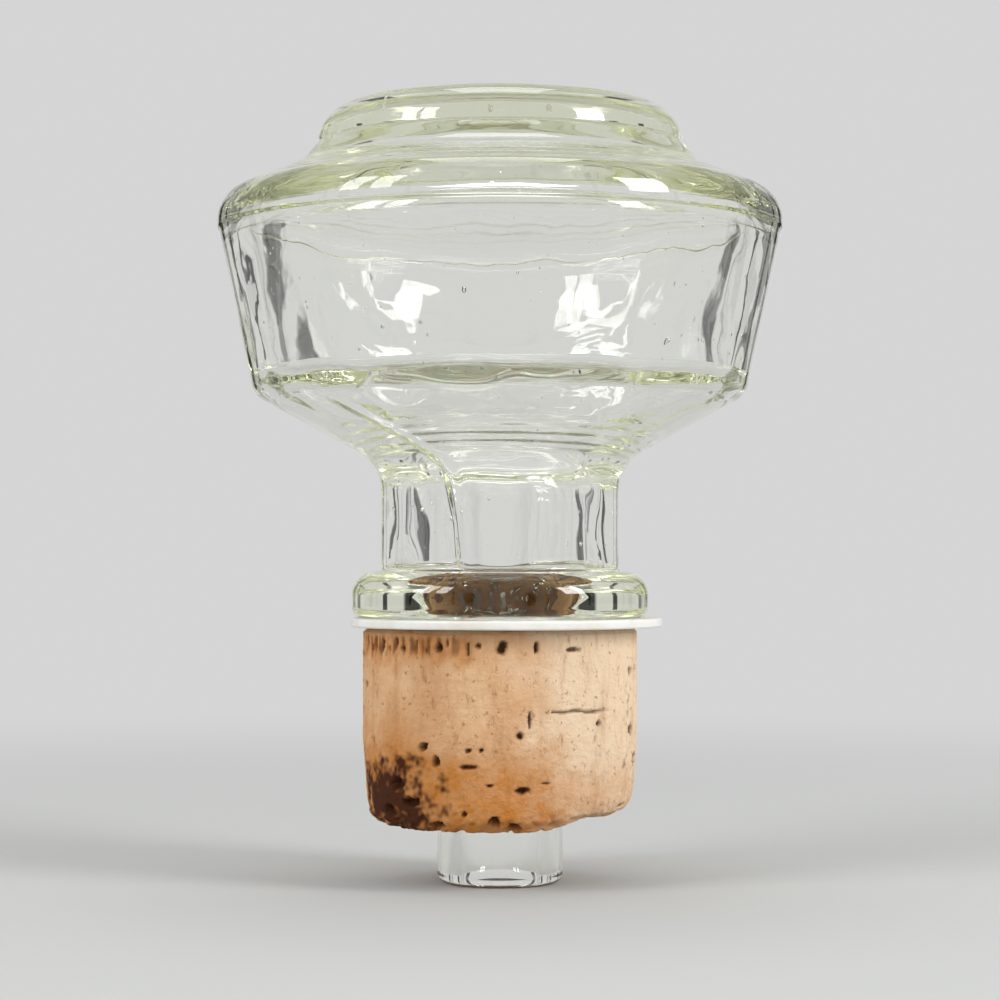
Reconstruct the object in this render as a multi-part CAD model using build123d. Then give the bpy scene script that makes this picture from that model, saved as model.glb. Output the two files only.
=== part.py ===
from build123d import *
import math
import os

# Stopper of a glass decanter: a hollow blown knob on a hollow stem, which ends in a thin
# glass peg. A plastic washer and a cork collar are pushed up the peg, under the stem's bead.
# Millimetres. +Z is up along the stopper's axis, and the origin is the middle of the peg's
# foot, on which the stopper stands.

# Cork collar
cork_length = 21.8
cork_radius = 15.35
cork_land_length = 12.0  # the straight stretch that grips the neck
cork_top_bevel = 0.5
cork_end_radius = 14.7  # where the taper meets the worn lower edge
cork_end_bevel = 1.3
cork_bore_clearance = 0.05

# Washer
washer_thickness = 1.1
washer_overhang = 0.8  # past the bead
washer_bore_clearance = 1.2
washer_shift = 0.7  # it is loose, and sits off centre

# Glass peg and its foot
peg_radius = 7.0
peg_wall = 2.6
peg_tip = 6.5  # below the cork
foot_outer_round = 0.9
foot_inner_round = 0.6

# Bead and stem
bead_height = 5.2
bead_overhang = 3.3
bead_lower_round = 1.2
bead_upper_round = 2.8
bead_neck_round = 0.4
stem_radius = 13.3
stem_wall = 3.2
stem_height = 11.8  # from the bead to the cone
stem_flare = 5.0
peg_root_round = 0.3
funnel_lift = 0.5  # of the funnel's narrow end, above the bead's underside
funnel_rise = 4.2
funnel_round = 2.0

# Drum of the knob, standing on a shallow cone
cone_angle = 28.7  # above the horizontal
drum_height = 18.25
drum_angle = 11.9  # away from the vertical
drum_round = 2.4
drum_wall = 3.6
inner_corner_round = 2.2
inner_flare = 3.5

# Rim, shoulder and top disc
rim_radius = 31.55
rim_step = 0.25  # the mould's joint, just above the drum
rim_step_height = 0.3
rim_step_round = 0.3
rim_band = 3.4
rim_round = 3.8
shoulder_angle = 21.9
shoulder_ledge = 2.1  # outside the disc
shoulder_sweep = 2.5
shoulder_round = 3.5
disc_radius = 20.5
disc_draft = 0.8
disc_height = 4.3
disc_root_round = 0.6
disc_edge_round = 4.2
top_thickness = 5.6
ceiling_round = 30.0


def turned(corners):
    """Turn a closed outline about Z. A corner is (radius, height, how far it is rounded)."""
    points = [(radius, height) for radius, height, _ in corners]
    rounds = [rounding for _, _, rounding in corners]
    outline = FilletPolyline(*points, radius=rounds, close=True)
    return revolve(make_face(Plane.XZ * outline), Axis.Z)


def shifted(start, end, gap):
    """The line from start to end, moved to its left by gap."""
    length = math.dist(start, end)
    across = gap * (start[1] - end[1]) / length
    along = gap * (end[0] - start[0]) / length
    return [(x + across, y + along) for x, y in (start, end)]


def crossing(first, second):
    """Where two lines, each given by two points, cross."""
    (ax, ay), (bx, by) = first
    (cx, cy), (dx, dy) = second
    area = (bx - ax) * (dy - cy) - (by - ay) * (dx - cx)
    share = ((cx - ax) * (dy - cy) - (cy - ay) * (dx - cx)) / area
    return (ax + share * (bx - ax), ay + share * (by - ay))


# Heights of the stack, from the foot up
cork_bottom = peg_tip
cork_top = cork_bottom + cork_length
bead_bottom = cork_top + washer_thickness
bead_top = bead_bottom + bead_height
cone_bottom = bead_top + stem_height

# Corners of the knob's outside, as (radius, height)
drum_top_radius = rim_radius - rim_step
drum_bottom_radius = drum_top_radius - drum_height * math.tan(math.radians(drum_angle))
cone_rise = (drum_bottom_radius - stem_radius) * math.tan(math.radians(cone_angle))
cone_low = (stem_radius, cone_bottom)
cone_high = (drum_bottom_radius, cone_bottom + cone_rise)
drum_top = (drum_top_radius, cone_high[1] + drum_height)
rim_low = (rim_radius, drum_top[1] + rim_step_height)
rim_high = (rim_radius, rim_low[1] + rim_band)
ledge_radius = disc_radius + shoulder_ledge
shoulder_rise = (rim_radius - ledge_radius) * math.tan(math.radians(shoulder_angle))
ledge = (ledge_radius, rim_high[1] + shoulder_rise)
disc_low = (disc_radius, ledge[1] + shoulder_sweep)
disc_high = (disc_radius - disc_draft, disc_low[1] + disc_height)
bead_radius = stem_radius + bead_overhang

# Corners of its inside: each wall runs parallel to the outside
bore_radius = stem_radius - stem_wall
peg_bore = peg_radius - peg_wall
ceiling_height = disc_high[1] - top_thickness
bore_line = [(bore_radius, bead_top), (bore_radius, cone_bottom)]
floor_line = shifted(cone_low, cone_high, drum_wall)
wall_line = shifted(cone_high, drum_top, drum_wall)
shoulder_line = shifted(rim_high, ledge, drum_wall)
ceiling_line = [(0, ceiling_height), (bore_radius, ceiling_height)]
funnel_low = bead_bottom + funnel_lift


def glass_knob():
    """Knob, stem, bead and peg: one blown piece, open at the foot."""
    outside = [
        (peg_radius, 0, foot_outer_round),
        (peg_radius, bead_bottom, peg_root_round),
        (bead_radius, bead_bottom, bead_lower_round),
        (bead_radius, bead_top, bead_upper_round),
        (stem_radius, bead_top, bead_neck_round),
        (*cone_low, stem_flare),
        (*cone_high, drum_round),
        (*drum_top, rim_step_round),
        (*rim_low, rim_step_round),
        (*rim_high, rim_round),
        (*ledge, shoulder_round),
        (*disc_low, disc_root_round),
        (*disc_high, disc_edge_round),
        (0, disc_high[1], 0),
    ]
    inside = [
        (0, ceiling_height, 0),
        (*crossing(ceiling_line, shoulder_line), ceiling_round),
        (*crossing(shoulder_line, wall_line), inner_corner_round),
        (*crossing(wall_line, floor_line), inner_corner_round),
        (*crossing(floor_line, bore_line), inner_flare),
        (bore_radius, funnel_low + funnel_rise, funnel_round),
        (peg_bore, funnel_low, funnel_round),
        (peg_bore, 0, foot_inner_round),
    ]
    return turned(outside + inside)


def plastic_washer():
    """Flat ring between the bead and the cork, a little off centre."""
    outer_radius = bead_radius + washer_overhang
    hole_radius = peg_radius + washer_bore_clearance
    ring = Circle(outer_radius) - Circle(hole_radius)
    return Pos(washer_shift, 0, cork_top) * extrude(ring, washer_thickness)


def cork_collar():
    """Bored cork on the peg: a straight land, then a slight taper to a bevelled lower edge."""
    bore = peg_radius + cork_bore_clearance
    land_top = cork_top - cork_top_bevel
    corners = [
        (bore, cork_bottom, 0),
        (cork_end_radius - cork_end_bevel, cork_bottom, 0),
        (cork_end_radius, cork_bottom + cork_end_bevel, 0),
        (cork_radius, land_top - cork_land_length, 0),
        (cork_radius, land_top, 0),
        (cork_radius - cork_top_bevel, cork_top, 0),
        (bore, cork_top, 0),
    ]
    return turned(corners)


os.makedirs("parts", exist_ok=True)
export_step(glass_knob(), "parts/glass_knob.step")
export_step(plastic_washer(), "parts/plastic_washer.step")
export_step(cork_collar(), "parts/cork_collar.step")
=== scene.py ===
import math
import random

import bmesh
import bpy
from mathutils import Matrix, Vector, noise


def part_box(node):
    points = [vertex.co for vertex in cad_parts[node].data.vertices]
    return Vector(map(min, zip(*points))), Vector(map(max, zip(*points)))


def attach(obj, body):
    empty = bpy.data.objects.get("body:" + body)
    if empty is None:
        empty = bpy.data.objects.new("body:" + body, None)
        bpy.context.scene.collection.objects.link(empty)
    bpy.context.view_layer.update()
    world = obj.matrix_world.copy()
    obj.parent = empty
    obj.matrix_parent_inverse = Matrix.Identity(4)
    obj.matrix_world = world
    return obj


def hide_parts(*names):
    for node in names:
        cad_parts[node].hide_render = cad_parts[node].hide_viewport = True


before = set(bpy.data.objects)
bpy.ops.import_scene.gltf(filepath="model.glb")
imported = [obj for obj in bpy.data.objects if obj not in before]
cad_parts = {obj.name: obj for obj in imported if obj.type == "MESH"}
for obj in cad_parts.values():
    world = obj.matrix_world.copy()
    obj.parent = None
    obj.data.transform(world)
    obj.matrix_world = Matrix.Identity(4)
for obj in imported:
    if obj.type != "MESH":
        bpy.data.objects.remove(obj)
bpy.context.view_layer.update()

# A glass stopper: a hollow blown knob on a beaded stem, whose thin peg carries a plastic
# washer and a cork collar. Outlines are in millimetres, and MM turns them into metres.
MM = 0.001

# ---------------------------------------------------------------- sizes from model.glb

knob_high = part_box("glass_knob")[1]
cork_low, cork_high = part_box("cork_collar")
washer_low, washer_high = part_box("plastic_washer")

rim_radius = knob_high.x / MM
top_height = knob_high.z / MM
cork_radius = cork_high.x / MM
cork_bottom = cork_low.z / MM
cork_top = cork_high.z / MM
washer_radius = (washer_high.x - washer_low.x) / 2 / MM
washer_shift = (washer_high.x + washer_low.x) / 2 / MM
washer_top = washer_high.z / MM

# ---------------------------------------------------------------- outlines and turning


def shifted(start, end, gap):
    """The line from start to end, moved to its left by gap."""
    length = math.dist(start, end)
    across = gap * (start[1] - end[1]) / length
    along = gap * (end[0] - start[0]) / length
    return [(x + across, y + along) for x, y in (start, end)]


def crossing(first, second):
    """Where two lines, each given by two points, cross."""
    (ax, ay), (bx, by) = first
    (cx, cy), (dx, dy) = second
    area = (bx - ax) * (dy - cy) - (by - ay) * (dx - cx)
    share = ((cx - ax) * (dy - cy) - (cy - ay) * (dx - cx)) / area
    return (ax + share * (bx - ax), ay + share * (by - ay))


def smoothstep(low, high, value):
    """0 below low, 1 above high and smooth between, or the other way where low is above high."""
    share = min(1.0, max(0.0, (value - low) / (high - low)))
    return share * share * (3 - 2 * share)


ARC_STEP = math.radians(9)
FEWEST_ARC_PIECES = 3
STRAIGHT = math.pi - 0.001  # a corner that opens wider than this isn't rounded


def rounded_corner(before, corner, after, rounding):
    """Points of the arc that rounds a corner, or the corner itself if there is nothing to round."""
    back = (Vector(before) - Vector(corner)).normalized()
    ahead = (Vector(after) - Vector(corner)).normalized()
    opening = back.angle(ahead)
    if rounding == 0 or opening > STRAIGHT:
        return [Vector(corner)]
    reach = rounding / math.tan(opening / 2)
    start = Vector(corner) + back * reach
    centre = Vector(corner) + (back + ahead).normalized() * (rounding / math.sin(opening / 2))
    turn = math.pi - opening
    if back.cross(ahead) > 0:
        turn = -turn
    pieces = max(FEWEST_ARC_PIECES, math.ceil(abs(turn) / ARC_STEP))
    spoke = start - centre
    points = []
    for step in range(pieces + 1):
        angle = turn * step / pieces
        c, s = math.cos(angle), math.sin(angle)
        points.append(centre + Vector((spoke.x * c - spoke.y * s, spoke.x * s + spoke.y * c)))
    return points


def outline(corners):
    """Points along corners given as (radius, height, rounding, spacing of the run that follows)."""
    stretches = [[Vector(corners[0][:2])]]
    for before, corner, after in zip(corners, corners[1:], corners[2:]):
        stretches.append(rounded_corner(before[:2], corner[:2], after[:2], corner[2]))
    stretches.append([Vector(corners[-1][:2])])
    points = []
    for corner, stretch, following in zip(corners, stretches, stretches[1:]):
        points += stretch
        start, end = stretch[-1], following[0]
        pieces = max(1, math.ceil((end - start).length / corner[3]))
        points += [start.lerp(end, k / pieces) for k in range(1, pieces)]
    return points + stretches[-1]


def on_circle(radius, azimuth, height):
    """The point at an azimuth: 0 is the front, towards -Y, and 90 is +X."""
    angle = math.radians(azimuth)
    return Vector((radius * math.sin(angle), -radius * math.cos(angle), height))


def azimuth_past(azimuth, start):
    """How far an azimuth lies past another, from -180 to 180."""
    return (azimuth - start + 180) % 360 - 180


def spokes(count):
    """Azimuths spread evenly round the axis."""
    return [k * 360 / count - 180 for k in range(count)]


ON_AXIS = 1e-6  # a point of an outline with a smaller radius lies on the axis


def turned(points, azimuths, inset):
    """Vertices and faces of a closed outline turned about Z.

    The outline goes up its outside, and each point is moved in by inset(point, azimuth)."""
    normals = []
    for before, after in zip(points[-1:] + points[:-1], points[1:] + points[:1]):
        along = (after - before).normalized()
        normals.append(Vector((along.y, -along.x)))
    vertices = []
    rings = []
    for point, normal in zip(points, normals):
        if point.x < ON_AXIS:
            rings.append([len(vertices)] * len(azimuths))
            vertices.append((0, 0, point.y - normal.y * inset(point, 0)))
            continue
        rings.append(list(range(len(vertices), len(vertices) + len(azimuths))))
        for azimuth in azimuths:
            moved = point - normal * inset(point, azimuth)
            vertices.append(on_circle(moved.x, azimuth, moved.y))
    faces = []
    for lower, upper in zip(rings, rings[1:] + rings[:1]):
        for j in range(len(azimuths)):
            i = (j + 1) % len(azimuths)
            face = list(dict.fromkeys((lower[j], lower[i], upper[i], upper[j])))
            if len(face) > 2:
                faces.append(face)
    return vertices, faces


def piece(name, vertices, faces, material):
    """A smooth object from vertices in millimetres, riding on the stopper."""
    mesh = bpy.data.meshes.new(name)
    mesh.from_pydata([Vector(v) * MM for v in vertices], [], faces)
    mesh.polygons.foreach_set("use_smooth", [True] * len(mesh.polygons))
    mesh.materials.append(material)
    thing = bpy.data.objects.new(name, mesh)
    bpy.context.scene.collection.objects.link(thing)
    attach(thing, "root")
    return thing


def add_values(thing, name, values):
    """Store one number for each vertex, for the material to read."""
    attribute = thing.data.attributes.new(name, "FLOAT", "POINT")
    attribute.data.foreach_set("value", values)


def waves(place, depth, length, offset=(0, 0, 0)):
    """Uneven waves of a depth and a length. Another offset gives other waves."""
    return depth * noise.noise(place / length + Vector(offset))


# ---------------------------------------------------------------- material helpers


class Nodes:
    """A short way to write a node material."""

    def __init__(self, name):
        self.material = bpy.data.materials.new(name)
        self.material.use_nodes = True
        self.tree = self.material.node_tree
        self.shader = self.tree.nodes["Principled BSDF"]
        self.output = self.tree.nodes["Material Output"]
        self.place = self.add("ShaderNodeTexCoord").outputs["Object"]

    def add(self, kind, **settings):
        node = self.tree.nodes.new(kind)
        for key, value in settings.items():
            setattr(node, key, value)
        return node

    def put(self, socket, value):
        """Link a socket to value, or set it."""
        if isinstance(value, bpy.types.NodeSocket):
            self.tree.links.new(value, socket)
        else:
            socket.default_value = value

    def noise(self, scale, detail=2.0, roughness=0.5, stretch=(1, 1, 1), distortion=0.0):
        """Noise with about scale waves to a metre, drawn out where stretch is under 1."""
        mapping = self.add("ShaderNodeMapping")
        mapping.inputs["Scale"].default_value = stretch
        self.put(mapping.inputs["Vector"], self.place)
        texture = self.add("ShaderNodeTexNoise")
        self.put(texture.inputs["Vector"], mapping.outputs[0])
        texture.inputs["Scale"].default_value = scale
        texture.inputs["Detail"].default_value = detail
        texture.inputs["Roughness"].default_value = roughness
        texture.inputs["Distortion"].default_value = distortion
        return texture.outputs["Fac"]

    def cells(self, scale):
        """The distance to the nearest of many scattered points."""
        texture = self.add("ShaderNodeTexVoronoi")
        self.put(texture.inputs["Vector"], self.place)
        texture.inputs["Scale"].default_value = scale
        return texture.outputs["Distance"]

    def ramp(self, value, low, high, out_low=0.0, out_high=1.0):
        """Turns smoothly from out_low at low to out_high at high."""
        node = self.add("ShaderNodeMapRange", interpolation_type="SMOOTHSTEP")
        self.put(node.inputs["Value"], value)
        node.inputs["From Min"].default_value = low
        node.inputs["From Max"].default_value = high
        node.inputs["To Min"].default_value = out_low
        node.inputs["To Max"].default_value = out_high
        return node.outputs["Result"]

    def math(self, operation, first, second=0.0):
        node = self.add("ShaderNodeMath", operation=operation)
        self.put(node.inputs[0], first)
        self.put(node.inputs[1], second)
        return node.outputs[0]

    def mix(self, share, first, second):
        node = self.add("ShaderNodeMix", data_type="RGBA")
        self.put(node.inputs["Factor"], share)
        self.put(node.inputs["A"], first)
        self.put(node.inputs["B"], second)
        return node.outputs["Result"]

    def value(self, name):
        """The numbers that add_values stored under a name."""
        return self.add("ShaderNodeAttribute", attribute_name=name).outputs["Fac"]

    def bump(self, height, strength, distance):
        node = self.add("ShaderNodeBump")
        node.inputs["Strength"].default_value = strength
        node.inputs["Distance"].default_value = distance
        self.put(node.inputs["Height"], height)
        self.put(self.shader.inputs["Normal"], node.outputs["Normal"])

    def set(self, **values):
        """Set or link the shader's sockets, whose names are given with _ for each space."""
        for key, value in values.items():
            self.put(self.shader.inputs[key.replace("_", " ")], value)


# ---------------------------------------------------------------- glass

# Radii, heights and walls in millimetres, angles in degrees
peg_radius, peg_bore, bore_end = 7.0, 4.4, 0.6
bead_height, bead_radius = 5.2, 16.6
stem_radius, stem_height, bore_radius = 13.3, 11.8, 10.1
cone_angle, drum_height, drum_angle, drum_wall = 28.7, 18.25, 11.9, 3.6
rim_step, rim_step_height, rim_band = 0.25, 0.3, 3.4
ledge_radius, shoulder_angle, shoulder_sweep = 22.6, 21.9, 2.5
disc_radius, disc_draft, top_thickness = 20.5, 0.8, 5.6
funnel_lift, funnel_rise = 0.5, 4.2
bead_gap = 0.03  # keeps the bead's underside and the washer from sharing a plane
GLASS_SPOKES = 240

bead_bottom = washer_top + bead_gap
bead_top = washer_top + bead_height
cone_bottom = bead_top + stem_height
drum_top_radius = rim_radius - rim_step
drum_bottom_radius = drum_top_radius - drum_height * math.tan(math.radians(drum_angle))
cone_rise = (drum_bottom_radius - stem_radius) * math.tan(math.radians(cone_angle))
cone_low = (stem_radius, cone_bottom)
cone_high = (drum_bottom_radius, cone_bottom + cone_rise)
drum_top = (drum_top_radius, cone_high[1] + drum_height)
rim_low = (rim_radius, drum_top[1] + rim_step_height)
rim_high = (rim_radius, rim_low[1] + rim_band)
shoulder_rise = (rim_radius - ledge_radius) * math.tan(math.radians(shoulder_angle))
ledge = (ledge_radius, rim_high[1] + shoulder_rise)
disc_low = (disc_radius, ledge[1] + shoulder_sweep)
disc_high = (disc_radius - disc_draft, top_height)
ceiling = top_height - top_thickness

bore_line = [(bore_radius, bead_top), (bore_radius, cone_bottom)]
floor_line = shifted(cone_low, cone_high, drum_wall)
wall_line = shifted(cone_high, drum_top, drum_wall)
shoulder_line = shifted(rim_high, ledge, drum_wall)
ceiling_line = [(0, ceiling), (bore_radius, ceiling)]

COARSE, PLAIN, FINE = 3.0, 0.9, 0.3  # spacings of the points along an outline

glass_outside = [
    (peg_bore, 0, 0, 0.5),
    (peg_radius, 0, 0.9, COARSE),
    (peg_radius, bead_bottom, 0.3, COARSE),
    (bead_radius, bead_bottom, 1.2, PLAIN),
    (bead_radius, bead_top, 2.8, PLAIN),
    (stem_radius, bead_top, 0.4, PLAIN),
    (*cone_low, 5.0, PLAIN),
    (*cone_high, 2.4, PLAIN),
    (*drum_top, 0.3, PLAIN),
    (*rim_low, 0.3, PLAIN),
    (*rim_high, 3.8, FINE),
    (*ledge, 3.5, FINE),
    (*disc_low, 0.6, PLAIN),
    (*disc_high, 4.2, PLAIN),
    (0, top_height, 0, PLAIN),
]
glass_inside = [
    (0, ceiling, 0, PLAIN),
    (*crossing(ceiling_line, shoulder_line), 30.0, PLAIN),
    (*crossing(shoulder_line, wall_line), 2.2, PLAIN),
    (*crossing(wall_line, floor_line), 2.2, FINE),
    (*crossing(floor_line, bore_line), 3.5, PLAIN),
    (bore_radius, bead_bottom + funnel_lift + funnel_rise, 2.0, PLAIN),
    (peg_bore, bead_bottom + funnel_lift, 2.0, COARSE),
    (peg_bore, bore_end, 0, PLAIN),
]

# Depths and lengths of the waves in the glass
BROAD_WAVES, SMALL_WAVES, OUTSIDE_WAVES = (0.34, 9.0), (0.11, 3.6), (0.05, 8.0)
DRUM_SHARE, PEG_SHARE = 0.35, 0.15  # how strong the inside's waves are there, against 1 in the stem


def inside_wave(point, azimuth):
    """The unevenness of the blown inside: slight on the drum, strong at its floor and in the stem."""
    place = on_circle(point.x, azimuth, point.y)
    on_floor = smoothstep(cone_high[1] + 7, cone_high[1] + 1, point.y)
    in_peg = smoothstep(bead_top - 2, bead_bottom, point.y)
    strength = (DRUM_SHARE + (1 - DRUM_SHARE) * on_floor) * (1 - (1 - PEG_SHARE) * in_peg)
    return strength * (waves(place, *BROAD_WAVES, (3, 5, 7)) + waves(place, *SMALL_WAVES, (11, 2, 4)))


# A crease in the inside: its heights and azimuths, from the stem up to the drum's floor
fold_path = [(33.0, -19.0), (40.0, -22.0), (45.5, -28.0), (50.0, -39.0), (56.5, -54.0)]
FOLD_DEPTH, FOLD_HALF_WIDTH, FOLD_FADE = 0.38, 1.1, 4.0


def fold(point, azimuth):
    """How deep the crease is here: a soft groove that fades out at its upper end."""
    for (low, start), (high, end) in zip(fold_path, fold_path[1:]):
        if low <= point.y < high:
            middle = start + (end - start) * (point.y - low) / (high - low)
            away = math.radians(abs(azimuth - middle)) * point.x / FOLD_HALF_WIDTH
            fade = smoothstep(fold_path[-1][0], fold_path[-1][0] - FOLD_FADE, point.y)
            return FOLD_DEPTH * fade * smoothstep(1, 0, away)
    return 0.0


FLOOR_RING_DEPTH, FLOOR_RING_SPACING, FLOOR_RINGS_END = 0.05, 1.5, 19.0
SHOULDER_RING_DEPTH, SHOULDER_RING_SPACING = 0.03, 1.7


def floor_rings(point):
    """Rings round the mouth of the stem's bore, on the drum's floor."""
    share = smoothstep(bore_radius, bore_radius + 2, point.x)
    share *= smoothstep(FLOOR_RINGS_END, FLOOR_RINGS_END - 4, point.x)
    return FLOOR_RING_DEPTH * share * math.cos(math.tau * point.x / FLOOR_RING_SPACING)


def outside_wave(point, azimuth):
    """The mould's slight unevenness, always inwards, and faint rings on the shoulder."""
    wave = OUTSIDE_WAVES[0] + waves(on_circle(point.x, azimuth, point.y), *OUTSIDE_WAVES, (1, 9, 2))
    above_rim = smoothstep(rim_high[1], rim_high[1] + 1.5, point.y)
    below_disc = smoothstep(disc_low[1] + 1, disc_low[1] - 1, point.y)
    rings = 1 + math.cos(math.tau * point.x / SHOULDER_RING_SPACING)
    return wave + SHOULDER_RING_DEPTH * above_rim * below_disc * rings


def glass_inset(point, azimuth, inside_points):
    """How far the glass lies inside its even outline. inside_points has the ids of the inside's points."""
    if id(point) in inside_points:
        return inside_wave(point, azimuth) + floor_rings(point) + fold(point, azimuth)
    if point.y < bead_bottom + 0.5:
        return 0.0
    return outside_wave(point, azimuth)


SEEDS = 64
SMALLEST_SEED, SEED_SPREAD, LONGEST_SEED = 0.07, 0.16, 1.9


def seeds(count):
    """Small bubbles that hang in the glass: centres and half-sizes, in millimetres."""
    chance = random.Random(8)
    found = []
    while len(found) < count:
        azimuth = chance.uniform(-180, 180)
        height = chance.uniform(bead_top + 1, top_height - 1.2)
        if cone_high[1] + 3 < height < drum_top[1] - 1:
            surface = drum_bottom_radius + (height - cone_high[1]) * math.tan(math.radians(drum_angle))
            radius = surface - chance.uniform(0.9, drum_wall - 1.0)
        elif height > ceiling + 1.6:
            radius = 16 * math.sqrt(chance.random())
        elif height < cone_bottom - 3:
            radius = chance.uniform(bore_radius + 1.0, stem_radius - 0.8)
        else:
            continue
        size = SMALLEST_SEED + SEED_SPREAD * chance.random() ** 2
        found.append((on_circle(radius, azimuth, height), size, size * chance.uniform(1.0, LONGEST_SEED)))
    return found


def bubble(centre, half_width, half_height):
    """Vertices and faces of a bubble, whose faces look in, at the air."""
    ball = bmesh.new()
    bmesh.ops.create_icosphere(ball, subdivisions=2, radius=1.0)
    ball.verts.index_update()
    scale = Vector((half_width, half_width, half_height))
    vertices = [centre + v.co * scale for v in ball.verts]
    faces = [[v.index for v in reversed(f.verts)] for f in ball.faces]
    ball.free()
    return vertices, faces


GLASS_IOR = 1.52
GLASS_TINT, TINT_DENSITY = (0.89, 0.905, 0.735, 1), 30.0


def glass_material():
    """Clear glass with a faint tint, smears, a fine ripple and a few specks."""
    nodes = Nodes("clear_glass")
    smears = nodes.ramp(nodes.noise(90, 4, 0.6, distortion=1.5), 0.5, 0.75, 0.0, 0.05)
    specks = nodes.ramp(nodes.cells(520), 0.11, 0.05)
    few = nodes.ramp(nodes.noise(300, 1), 0.56, 0.6)
    specks = nodes.math("MULTIPLY", specks, few)
    nodes.set(
        Base_Color=(1, 1, 1, 1),
        Roughness=nodes.math("ADD", smears, nodes.math("MULTIPLY", specks, 0.55)),
        IOR=GLASS_IOR,
        Transmission_Weight=1.0,
    )
    ripple = nodes.noise(260, 2, 0.4)
    nodes.bump(nodes.math("ADD", ripple, nodes.math("MULTIPLY", specks, 2.0)), 0.08, 0.0003)
    tint = nodes.add("ShaderNodeVolumeAbsorption")
    tint.inputs["Color"].default_value = GLASS_TINT
    tint.inputs["Density"].default_value = TINT_DENSITY
    nodes.tree.links.new(tint.outputs[0], nodes.output.inputs["Volume"])
    return nodes.material


def glass_knob():
    """The hollow knob, stem and peg, with their bubbles, as one piece."""
    outside = outline(glass_outside)
    inside = outline(glass_inside)
    inside_points = {id(point) for point in inside}
    vertices, faces = turned(
        outside + inside,
        spokes(GLASS_SPOKES),
        lambda point, azimuth: glass_inset(point, azimuth, inside_points),
    )
    for centre, half_width, half_height in seeds(SEEDS):
        more, more_faces = bubble(centre, half_width, half_height)
        faces += [[v + len(vertices) for v in face] for face in more_faces]
        vertices += more
    knob = piece("knob_glass", vertices, faces, glass_material())
    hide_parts("glass_knob")


# ---------------------------------------------------------------- cork

cork_bore = 7.05
cork_land = 12.0
cork_end_radius, cork_end_bevel, cork_top_bevel = 14.7, 1.3, 0.5
land_bottom = cork_top - cork_top_bevel - cork_land
CORK_SPOKES = 450

cork_outline = [
    (cork_bore, cork_bottom, 0, 0.45),
    (cork_end_radius - cork_end_bevel, cork_bottom, 1.4, 0.16),
    (cork_end_radius, cork_bottom + cork_end_bevel, 1.6, 0.16),
    (cork_radius, land_bottom, 0, 0.18),
    (cork_radius, cork_top - cork_top_bevel, 0.3, 0.16),
    (cork_radius - cork_top_bevel, cork_top, 0.2, 0.8),
    (cork_bore, cork_top, 0, 0.9),
    (cork_bore, cork_bottom, 0, 2.0),
]

# Pits and slits on the front: azimuth, height, half width, half height and depth
cork_pits = [
    (0.6, 26.4, 0.75, 0.75, 0.9),
    (14.6, 26.5, 0.3, 0.6, 0.6),
    (31.0, 26.2, 1.1, 0.25, 0.4),
    (-71.0, 26.7, 0.15, 0.8, 0.3),
    (-65.0, 26.3, 0.22, 0.5, 0.4),
    (-61.5, 26.9, 0.15, 0.7, 0.3),
    (-56.0, 26.5, 0.3, 0.75, 0.5),
    (-51.5, 26.2, 0.15, 0.4, 0.3),
    (-47.0, 26.8, 0.2, 0.8, 0.4),
    (-43.5, 26.3, 0.35, 0.35, 0.4),
    (-36.0, 26.6, 0.2, 0.85, 0.4),
    (-31.0, 26.2, 0.15, 0.45, 0.3),
    (-25.5, 26.5, 0.45, 0.7, 0.6),
    (-21.5, 26.9, 0.15, 0.5, 0.3),
    (-13.0, 26.3, 0.2, 0.7, 0.4),
    (-8.5, 26.7, 0.3, 0.3, 0.3),
    (12.0, 18.7, 0.22, 0.95, 0.7),
    (8.0, 17.1, 0.4, 0.4, 0.6),
    (44.0, 18.3, 0.35, 0.35, 0.4),
    (-32.6, 15.8, 0.65, 0.5, 0.8),
    (-27.0, 14.3, 0.5, 0.6, 0.7),
    (-12.8, 15.5, 0.35, 0.3, 0.5),
    (-7.8, 15.6, 0.35, 0.3, 0.5),
    (-12.2, 13.7, 1.0, 0.3, 0.6),
    (-4.4, 11.8, 0.5, 0.2, 0.4),
    (9.5, 11.2, 0.75, 0.55, 0.9),
    (19.0, 12.0, 0.5, 0.2, 0.3),
    (-15.0, 8.7, 0.35, 0.35, 0.5),
    (-2.3, 7.6, 0.75, 0.85, 1.0),
    (6.3, 7.1, 0.85, 0.55, 0.9),
    (-28.0, 7.2, 0.9, 0.5, 0.8),
    (-48.0, 11.6, 1.0, 0.8, 0.8),
    (-41.0, 9.8, 1.3, 0.6, 0.9),
    (-55.0, 8.6, 1.0, 0.7, 0.8),
]
CRACK = (21.5, 54.0, 19.5)  # the azimuths between which a crack runs, and its height
CRACK_DEPTH, CRACK_DARKNESS, CRACK_FADE = 0.5, 0.75, 12
PIT_REACH = 1.6  # half sizes from a pit's middle, past which it isn't felt
LENTICELS = 100


def lenticels(count):
    """Pits like those of the front, scattered over the rest of the side."""
    chance = random.Random(21)
    found = []
    while len(found) < count:
        azimuth = chance.uniform(62, 286)
        height = chance.uniform(cork_bottom + 0.5, cork_top - 0.8)
        kind = chance.random()
        if kind < 0.55:
            half_width, half_height = chance.uniform(0.12, 0.3), chance.uniform(0.15, 0.5)
        elif kind < 0.85:
            half_width, half_height = chance.uniform(0.3, 1.1), chance.uniform(0.12, 0.3)
        else:
            half_width, half_height = chance.uniform(0.5, 0.9), chance.uniform(0.4, 0.9)
        found.append((azimuth, height, half_width, half_height, chance.uniform(0.3, 0.9)))
    return found


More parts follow.
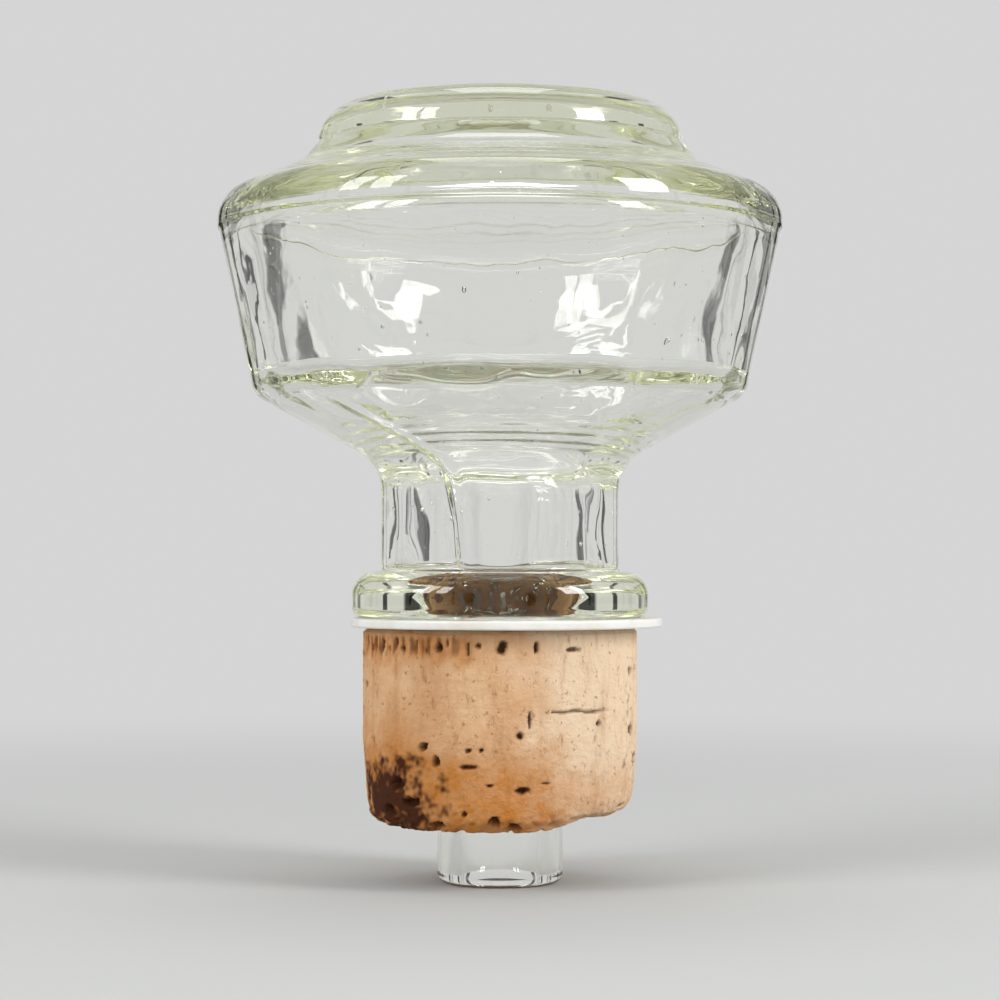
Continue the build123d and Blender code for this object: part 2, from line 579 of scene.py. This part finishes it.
def pit_depth(point, azimuth, pits):
    """How deep the pits and cracks are here, and how dark, from 0 to 1."""
    place = on_circle(point.x, azimuth, point.y)
    wobble = waves(place, 0.4, 0.7) + waves(place, 0.3, 0.25)
    depth = dark = 0.0
    for pit_azimuth, height, half_width, half_height, deep in pits:
        up = (point.y - height) / half_height
        if abs(up) > PIT_REACH:
            continue
        across = math.radians(azimuth_past(azimuth, pit_azimuth)) * point.x / half_width
        if abs(across) > PIT_REACH:
            continue
        share = smoothstep(1.1, 0.55, math.hypot(across, up) + wobble)
        depth = max(depth, share * deep)
        dark = max(dark, share)
    start, end, height = CRACK
    if start < azimuth < end:
        off = point.y - height - waves(place, 0.25, 2.0)
        share = smoothstep(0.22, 0.05, abs(off)) * smoothstep(end, end - CRACK_FADE, azimuth)
        depth = max(depth, CRACK_DEPTH * share)
        dark = max(dark, CRACK_DARKNESS * share)
    return depth, dark


# In places the bore's radius is PEG_GAP more than its solid's. In others it is PEG_CONTACT less, so
# that the cork reaches a little way into the peg and shows through its glass
PEG_CONTACT, PEG_GAP = 0.08, 0.03
PLAIN_INSET = 0.05  # on the cork's top, and round the mouths of its bore
EDGE_HEIGHT, EDGE_CRUMBS, EDGE_WEAR = 3.0, 0.9, 1.3


def cork_inset(point, azimuth, pits):
    """How far the cork's surface lies inside its solid's."""
    place = on_circle(point.x, azimuth, point.y)
    if point.x < cork_bore + 0.01:
        touch = smoothstep(-0.25, 0.0, waves(place, 1.0, 2.6))
        return PEG_GAP - touch * (PEG_CONTACT + PEG_GAP)
    if point.x < cork_bore + 0.5 or point.y > cork_top - 0.01:
        return PLAIN_INSET
    grain = 0.08 + waves(place, 0.06, 0.45) + waves(place, 0.06, 1.6)
    edge = smoothstep(cork_bottom + EDGE_HEIGHT, cork_bottom + 0.6, point.y)
    chips = max(0.0, waves(place, 1.0, 1.5, (4, 4, 4))) + max(0.0, waves(place, 0.5, 0.6))
    worn_side = smoothstep(15, 50, azimuth) * smoothstep(120, 85, azimuth)
    worn = EDGE_WEAR * worn_side * smoothstep(cork_bottom + 5.0, cork_bottom, point.y) ** 2
    return grain + edge * chips * EDGE_CRUMBS + worn + pit_depth(point, azimuth, pits)[0]


def cork_stain(place, azimuth):
    """Orange stain, from 0 to 1: strong low down on the front, most of all at its left."""
    front = smoothstep(110, 40, abs(azimuth_past(azimuth, -20)))
    reach = 10.0 + 5.5 * smoothstep(20, -60, azimuth) * front
    ragged = waves(place, 2.2, 3.0) + waves(place, 1.0, 0.9)
    low = smoothstep(cork_bottom + reach, cork_bottom + reach * 0.4, place.z + ragged)
    brim_left = smoothstep(-2, -18, azimuth) * smoothstep(-120, -80, azimuth)
    brim = brim_left * smoothstep(23.4, 26.2, place.z + waves(place, 1.6, 1.6))
    right = smoothstep(12, 40, azimuth) * smoothstep(125, 95, azimuth)
    low *= (0.45 + 0.55 * front) * (1 - 0.45 * right)
    return max(low, 0.8 * brim * smoothstep(cork_top, cork_top - 1.2, place.z))


def cork_pale(place, azimuth):
    """Paler cork, from 0 to 1: the front's right side."""
    ragged = waves(place, 12, 4.0) + waves(place, 5, 1.2)
    return smoothstep(-2, 34, azimuth + ragged) * smoothstep(130, 95, azimuth)


BURN_AZIMUTH, BURN_HEIGHT = -56, 9.4
BURN_HALF_TURN, BURN_HALF_HEIGHT = 29, 5.0


def cork_burn(place, azimuth):
    """Dark brown stain, from 0 to 1: a patch at the front's lower left, and streaks under its left brim."""
    across = azimuth_past(azimuth, BURN_AZIMUTH) / BURN_HALF_TURN
    away = math.hypot(across, (place.z - BURN_HEIGHT) / BURN_HALF_HEIGHT)
    ragged = waves(place, 0.8, 1.7) + waves(place, 0.45, 0.55)
    patch = smoothstep(1.25, 0.5, away + ragged)
    brim = smoothstep(-4, -25, azimuth) * smoothstep(-115, -80, azimuth)
    lower_end = 25.2 + 1.6 * noise.noise(Vector((azimuth / 2.8, 3, 0)))
    brim *= smoothstep(lower_end, lower_end + 0.9, place.z)
    brim *= smoothstep(cork_top - 0.3, cork_top - 1.2, place.z)
    streaks = smoothstep(-0.25, 0.35, noise.noise(Vector((azimuth / 2.2, place.z / 2.5, 0))))
    return max(patch, 0.7 * brim * streaks)


CORK_COLOUR, CORK_MOTTLE, CORK_PALE = (0.74, 0.47, 0.27, 1), (0.62, 0.34, 0.17, 1), (0.84, 0.66, 0.47, 1)
CORK_STREAK, CORK_FLECK, CORK_SPECK = (0.42, 0.19, 0.07, 1), (0.36, 0.14, 0.045, 1), (0.24, 0.09, 0.03, 1)
CORK_STAIN, CORK_BURN, CORK_PIT = (0.53, 0.20, 0.04, 1), (0.038, 0.007, 0.003, 1), (0.05, 0.014, 0.005, 1)
CORK_BORE_PAINTED_LIGHT = (0.98, 0.60, 0.26, 1)  # near the bore, a brighter orange: painted light that lifts the shade where the cork lies against the glass peg
BORE_LIGHT_START, BORE_LIGHT_FULL = 8.4 * MM, 7.6 * MM


def cork_material():
    """Cork: mottled, streaked and flecked, with the stains and pits that cork_collar stores."""
    nodes = Nodes("cork")
    pit, stain, burn = nodes.value("pit"), nodes.value("stain"), nodes.value("burn")
    mottle = nodes.ramp(nodes.noise(170, 4, 0.6, stretch=(1, 1, 0.6)), 0.3, 0.7)
    streaks = nodes.ramp(nodes.noise(420, 5, 0.7, stretch=(1, 1, 0.22)), 0.46, 0.78)
    specks = nodes.ramp(nodes.noise(1500, 3, 0.6), 0.6, 0.72)
    flecks = nodes.ramp(nodes.noise(650, 4, 0.7, stretch=(1, 1, 0.4)), 0.6, 0.72)
    blotches = nodes.ramp(nodes.noise(380, 4, 0.7), 0.35, 0.65, 0.65, 1.0)
    grain = nodes.noise(900, 6, 0.7)
    layers = [
        (nodes.value("pale"), 0.85, CORK_PALE),
        (streaks, 0.5, CORK_STREAK),
        (flecks, 0.55, CORK_FLECK),
        (specks, 0.6, CORK_SPECK),
        (stain, blotches, CORK_STAIN),
        (burn, 0.95, CORK_BURN),
        (pit, 0.92, CORK_PIT),
    ]
    colour = nodes.mix(mottle, CORK_COLOUR, CORK_MOTTLE)
    for place, strength, layer_colour in layers:
        colour = nodes.mix(nodes.math("MULTIPLY", place, strength), colour, layer_colour)
    # Painted light: round the bore, where the cork lies in shade against the glass peg, its colour turns a
    # brighter orange
    flat = nodes.add("ShaderNodeVectorMath", operation="MULTIPLY")
    nodes.put(flat.inputs[0], nodes.place)
    flat.inputs[1].default_value = (1, 1, 0)
    radius = nodes.add("ShaderNodeVectorMath", operation="LENGTH")
    nodes.put(radius.inputs[0], flat.outputs[0])
    bore_light = nodes.ramp(radius.outputs["Value"], BORE_LIGHT_START, BORE_LIGHT_FULL)
    colour = nodes.mix(bore_light, colour, CORK_BORE_PAINTED_LIGHT)
    nodes.set(
        Base_Color=colour,
        Roughness=nodes.ramp(grain, 0.3, 0.7, 0.72, 0.92),
        Specular_IOR_Level=0.12,
    )
    nodes.bump(grain, 0.7, 0.0006)
    return nodes.material


def cork_collar():
    """The bored cork, with what its material needs stored on its points."""
    points = outline(cork_outline)[:-1]
    azimuths = spokes(CORK_SPOKES)
    pits = cork_pits + lenticels(LENTICELS)
    vertices, faces = turned(points, azimuths, lambda point, azimuth: cork_inset(point, azimuth, pits))
    cork = piece("cork_with_pits", vertices, faces, cork_material())
    spots = [(point, azimuth) for point in points for azimuth in azimuths]
    add_values(cork, "pit", [pit_depth(point, azimuth, pits)[1] for point, azimuth in spots])
    for name, painted in (("stain", cork_stain), ("burn", cork_burn), ("pale", cork_pale)):
        values = [painted(on_circle(point.x, azimuth, point.y), azimuth) for point, azimuth in spots]
        add_values(cork, name, values)
    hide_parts("cork_collar")


# ---------------------------------------------------------------- washer

washer_hole = 8.2
washer_bottom = cork_top + 0.02  # keeps the washer and the cork from sharing a plane
BRIM_WAVE = 0.03
WASHER_SPOKES = 180
WASHER_WHITE, WASHER_CLOUDY = (0.80, 0.80, 0.77, 1), (0.72, 0.71, 0.65, 1)


def washer_material():
    """White translucent plastic, a little cloudy and satin."""
    nodes = Nodes("white_plastic")
    cloudy = nodes.ramp(nodes.noise(220, 3, 0.6), 0.35, 0.7)
    nodes.set(
        Base_Color=nodes.mix(cloudy, WASHER_WHITE, WASHER_CLOUDY),
        Roughness=nodes.ramp(nodes.noise(700, 3), 0.3, 0.7, 0.28, 0.5),
        Subsurface_Weight=0.35,
        Subsurface_Scale=0.002,
    )
    nodes.bump(nodes.noise(1100, 3), 0.25, 0.00015)
    return nodes.material


def plastic_washer():
    """The ring between bead and cork, with soft edges and a slightly wavy brim."""
    corners = [
        (washer_hole, washer_bottom, 0, 0.8),
        (washer_radius, washer_bottom, 0.3, 0.3),
        (washer_radius, washer_top, 0.35, 0.8),
        (washer_hole, washer_top, 0, 0.3),
        (washer_hole, washer_bottom, 0, 0.3),
    ]
    points = outline(corners)[:-1]

    def brim_inset(point, azimuth):
        if point.x < bead_radius - 1:
            return 0.0
        return BRIM_WAVE + waves(on_circle(1.5, azimuth, point.y / 3), BRIM_WAVE, 1.0)

    vertices, faces = turned(points, spokes(WASHER_SPOKES), brim_inset)
    vertices = [Vector(v) + Vector((washer_shift, 0, 0)) for v in vertices]
    washer = piece("washer_ring", vertices, faces, washer_material())
    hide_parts("plastic_washer")


# ---------------------------------------------------------------- studio

# From here on, sizes and places are in metres
PALE = (0.66, 0.665, 0.66, 1)
FLOOR_COLOUR, CARD_COLOUR = (0.50, 0.505, 0.50, 1), (0.015, 0.015, 0.015, 1)
FLOOR_RADIUS, FLOOR_SIDES = 6.0, 96
FLOOR_DROP = 0.0001  # keeps the floor and the foot of the peg from sharing a plane
BLEND_START, BLEND_END = 0.07, 0.34  # where the floor turns into the backdrop


def plain_material(name, colour):
    """Nodes with a matt shader of one colour, to be mixed with another."""
    nodes = Nodes(name)
    nodes.set(Base_Color=colour, Roughness=0.9, Specular_IOR_Level=0.0)
    return nodes


def studio_floor():
    """A pale floor that turns, away from the stopper, into the same even tone as the backdrop."""
    mesh = bpy.data.meshes.new("floor")
    turns = [math.tau * k / FLOOR_SIDES for k in range(FLOOR_SIDES)]
    ring = [(FLOOR_RADIUS * math.cos(turn), FLOOR_RADIUS * math.sin(turn), 0) for turn in turns]
    mesh.from_pydata(ring, [], [list(range(FLOOR_SIDES))])
    floor = bpy.data.objects.new("floor", mesh)
    floor.location.z = -FLOOR_DROP
    bpy.context.scene.collection.objects.link(floor)
    nodes = plain_material("pale_floor", FLOOR_COLOUR)
    distance = nodes.add("ShaderNodeVectorMath", operation="LENGTH")
    nodes.put(distance.inputs[0], nodes.place)
    far = nodes.ramp(distance.outputs["Value"], BLEND_START, BLEND_END)
    rays = nodes.add("ShaderNodeLightPath").outputs
    seen = nodes.math("MAXIMUM", rays["Is Camera Ray"], rays["Is Glossy Ray"])
    seen = nodes.math("MAXIMUM", seen, rays["Is Transmission Ray"])
    glow = nodes.add("ShaderNodeEmission")
    glow.inputs["Color"].default_value = PALE
    blend = nodes.add("ShaderNodeMixShader")
    nodes.put(blend.inputs[0], nodes.math("MULTIPLY", far, seen))
    nodes.put(blend.inputs[1], nodes.shader.outputs[0])
    nodes.put(blend.inputs[2], glow.outputs[0])
    nodes.put(nodes.output.inputs["Surface"], blend.outputs[0])
    mesh.materials.append(nodes.material)


def backdrop():
    """Even pale surroundings, which light the stopper as well."""
    world = bpy.data.worlds.new("surroundings")
    world.use_nodes = True
    bpy.context.scene.world = world
    world.node_tree.nodes["Background"].inputs["Color"].default_value = PALE


def aim(thing, target):
    """Turn a lamp or the camera to look at a place."""
    thing.rotation_mode = "QUATERNION"
    thing.rotation_quaternion = (Vector(target) - thing.location).to_track_quat("-Z", "Y")


LAMP_TARGET = (0, 0, 0.05)


def softbox(name, place, width, height, power):
    """A lamp with an even rectangular face, which the camera doesn't see."""
    light = bpy.data.lights.new(name, "AREA")
    light.shape = "RECTANGLE"
    light.size, light.size_y = width, height
    light.energy = power
    lamp = bpy.data.objects.new(name, light)
    lamp.location = place
    lamp.visible_camera = False
    bpy.context.scene.collection.objects.link(lamp)
    aim(lamp, LAMP_TARGET)


# Each card's turn about Z, counted from behind the stopper, and its half width
cards = [
    (24, 0.045), (37, 0.018), (62, 0.036), (71, 0.012),
    (108, 0.014), (118, 0.034), (144, 0.018), (157, 0.045),
    (203, 0.045), (216, 0.018), (242, 0.034), (252, 0.014),
    (289, 0.014), (298, 0.036), (323, 0.018), (336, 0.045),
]
CARD_DISTANCE, CARD_HEIGHT = 0.62, 0.36


def dark_cards():
    """Narrow dark cards round the stopper, seen only in reflections and through glass.

    They give the glass edges and streaks, and they fade out at their sides and top."""
    nodes = plain_material("dark_card", CARD_COLOUR)
    across = nodes.add("ShaderNodeSeparateXYZ")
    nodes.put(across.inputs[0], nodes.add("ShaderNodeTexCoord").outputs["Generated"])
    from_middle = nodes.math("ABSOLUTE", nodes.math("SUBTRACT", across.outputs["X"], 0.5))
    sides = nodes.ramp(from_middle, 0.5, 0.3)
    solid = nodes.math("MULTIPLY", sides, nodes.ramp(across.outputs["Z"], 1.0, 0.4))
    blend = nodes.add("ShaderNodeMixShader")
    nodes.put(blend.inputs[0], solid)
    nodes.put(blend.inputs[1], nodes.add("ShaderNodeBsdfTransparent").outputs[0])
    nodes.put(blend.inputs[2], nodes.shader.outputs[0])
    nodes.put(nodes.output.inputs["Surface"], blend.outputs[0])
    for azimuth, half_width in cards:
        mesh = bpy.data.meshes.new("card_%d" % azimuth)
        corners = [(side * half_width, CARD_DISTANCE, 0) for side in (-1, 1)]
        corners += [(side * half_width, CARD_DISTANCE, CARD_HEIGHT) for side in (1, -1)]
        mesh.from_pydata(corners, [], [[0, 1, 2, 3]])
        mesh.materials.append(nodes.material)
        card = bpy.data.objects.new(mesh.name, mesh)
        card.rotation_euler.z = math.radians(azimuth)
        card.visible_camera = False
        card.visible_diffuse = False
        card.visible_shadow = False
        bpy.context.scene.collection.objects.link(card)


CAMERA_PLACE, CAMERA_TARGET = (0, -0.3045, 0.036), (0, 0, 0.0425)
LENS, SENSOR_WIDTH = 98, 36


def camera():
    data = bpy.data.cameras.new("camera")
    data.lens = LENS
    data.sensor_width = SENSOR_WIDTH
    data.clip_start = 0.01
    view = bpy.data.objects.new("camera", data)
    view.location = CAMERA_PLACE
    bpy.context.scene.collection.objects.link(view)
    aim(view, CAMERA_TARGET)
    bpy.context.scene.camera = view


glass_knob()
cork_collar()
plastic_washer()
studio_floor()
backdrop()
dark_cards()
softbox("window_pane_1", (-0.46, -0.26, 0.33), 0.09, 0.30, 0.8)
softbox("window_pane_2", (-0.39, -0.36, 0.33), 0.09, 0.30, 0.8)
softbox("window_right", (0.46, -0.26, 0.30), 0.18, 0.28, 2.2)
softbox("overhead", (0.0, 0.16, 0.75), 0.3, 0.3, 0.8)
camera()

bpy.context.scene.view_settings.view_transform = "Standard"
# Light is reflected many times inside the glass, and what ends early there is black
BOUNCES = 24
bpy.context.scene.cycles.max_bounces = BOUNCES
bpy.context.scene.cycles.glossy_bounces = BOUNCES
bpy.context.scene.cycles.transmission_bounces = BOUNCES
